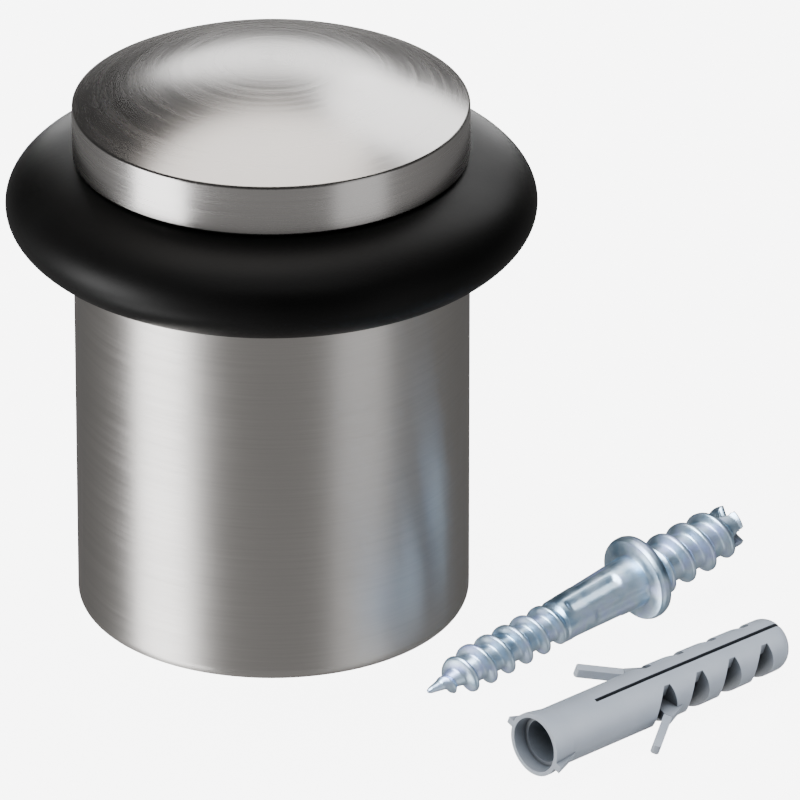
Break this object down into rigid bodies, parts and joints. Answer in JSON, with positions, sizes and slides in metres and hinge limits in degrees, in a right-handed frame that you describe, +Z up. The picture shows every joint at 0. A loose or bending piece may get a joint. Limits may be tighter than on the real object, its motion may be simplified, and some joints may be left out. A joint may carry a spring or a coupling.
{
  "type": "floor door stop",
  "caption": "Cylindrical floor door stop with a domed steel cap, steel sleeve and rubber bumper ring, laid out with its double-ended fixing screw and split wall plug.",
  "frame": {"origin": "centre of the stop's base, in the plane of the floor, at the mouth of the recess for the screw's collar", "axes": "+Z up along the stop's axis to its domed cap, -Y towards the side where the loose screw and plug lie, +X to their right"},
  "size_m": [0.0789, 0.0689, 0.0603],
  "materials": {
    "sleeve_steel": "stainless, brushed round the cylinder",
    "cap_steel": "stainless, brushed in circles",
    "core_plastic": "moulded, satin black",
    "bumper_rubber": "satin moulded rubber",
    "zinc_steel": "bright zinc plating",
    "plug_nylon": "moulded grey nylon"
  },
  "bodies": {
    "stop": {"core": "core_plastic", "body_sleeve": "sleeve_steel", "top_cap": "cap_steel"},
    "bumper": {"bumper_ring": "bumper_rubber"},
    "screw": {"fixing_screw": "zinc_steel"},
    "plug": {"wall_plug": "plug_nylon"},
    "fin_left": {"plug_fin_left": "plug_nylon"},
    "fin_right": {"plug_fin_right": "plug_nylon"}
  },
  "joints": [
    {"name": "bumper_turn", "type": "hinge", "parent": "stop", "child": "bumper", "pos_m": [0, 0, 0.0445], "axis": [0, 0, 1], "continuous": true},
    {"name": "screw_lift", "type": "slide", "parent": "stop", "child": "screw", "axis": [0, 0, 1], "range_m": [0, 0.06]},
    {"name": "plug_lift", "type": "slide", "parent": "stop", "child": "plug", "axis": [0, 0, 1], "range_m": [0, 0.06]},
    {"name": "fin_left_fold", "type": "hinge", "parent": "plug", "child": "fin_left", "pos_m": [0.03524, -0.02685, 0.00416], "axis": [0.2568, -0.2505, 0.9335], "range_deg": [0, 32], "stiffness_Nm_per_rad": 0.0005},
    {"name": "fin_right_fold", "type": "hinge", "parent": "plug", "child": "fin_right", "pos_m": [0.03913, -0.03104, 0.00197], "axis": [-0.2568, 0.2505, -0.9335], "range_deg": [0, 32], "stiffness_Nm_per_rad": 0.0005}
  ]
}
